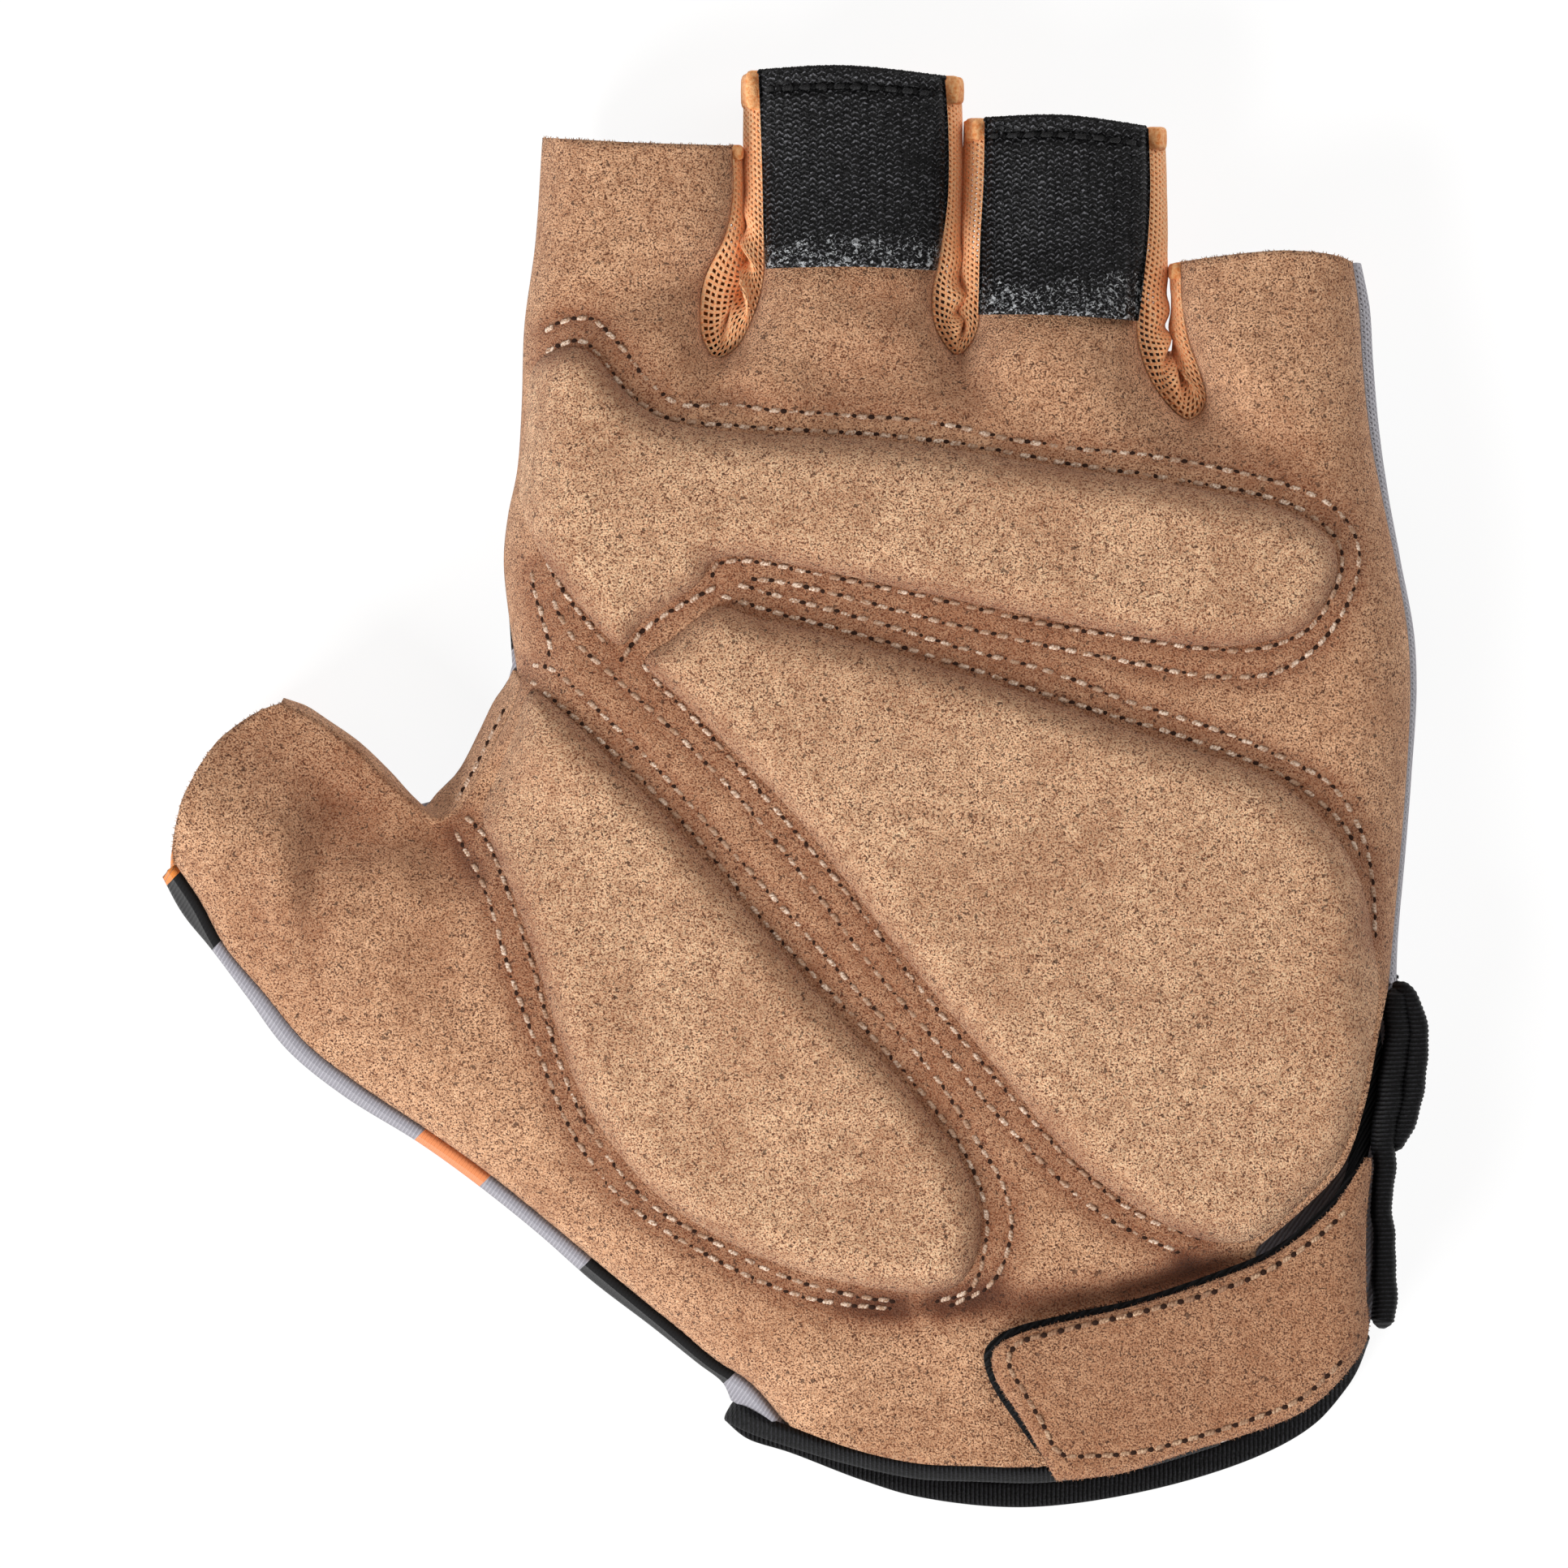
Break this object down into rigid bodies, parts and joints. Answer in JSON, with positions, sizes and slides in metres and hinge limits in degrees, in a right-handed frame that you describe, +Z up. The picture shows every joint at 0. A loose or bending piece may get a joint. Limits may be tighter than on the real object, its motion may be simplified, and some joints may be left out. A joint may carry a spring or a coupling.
{
  "type": "fingerless cycling glove, left hand",
  "caption": "Fingerless cycling glove with padded suede palm panels, net finger sides, woven pull tabs and a wrist strap, lying palm up.",
  "frame": {"origin": "centre of the bounding box on the floor that the back of the glove rests on", "axes": "+X towards the little finger, +Y towards the finger openings, +Z up out of the palm"},
  "size_m": [0.1394, 0.1601, 0.0277],
  "materials": {
    "suede": "brown suede with a short nap",
    "suede_pad": "brown suede over soft padding, double stitched",
    "strap_suede": "brown suede with a slightly fluffy cut edge",
    "stretch_fabric": "fine ribbed grey stretch fabric with orange and black areas",
    "orange_net": "orange airy net",
    "grey_net": "grey airy net",
    "black_tape": "black woven tape with a few pale glints",
    "black_binding": "black ribbed elastic edging",
    "black_fabric": "matt black stretch fabric",
    "hook_layer": "black hook tape"
  },
  "bodies": {
    "root": {"palm_panel": "suede", "knuckle_pad": "suede_pad", "ulnar_pad": "suede_pad", "thenar_pad": "suede_pad", "thumb_crotch_strip": "suede", "back_panel": "stretch_fabric", "fourchette_index_middle": "orange_net", "fourchette_middle_ring": "orange_net", "fourchette_ring_little": "orange_net", "ulnar_side_mesh": "grey_net", "pull_tab_middle": "black_tape", "pull_tab_ring": "black_tape", "wrist_strap": "strap_suede", "strap_hook_backing": "hook_layer", "slit_gusset": "black_fabric", "slit_binding": "black_binding", "cuff_binding": "black_binding"}
  },
  "joints": []
}
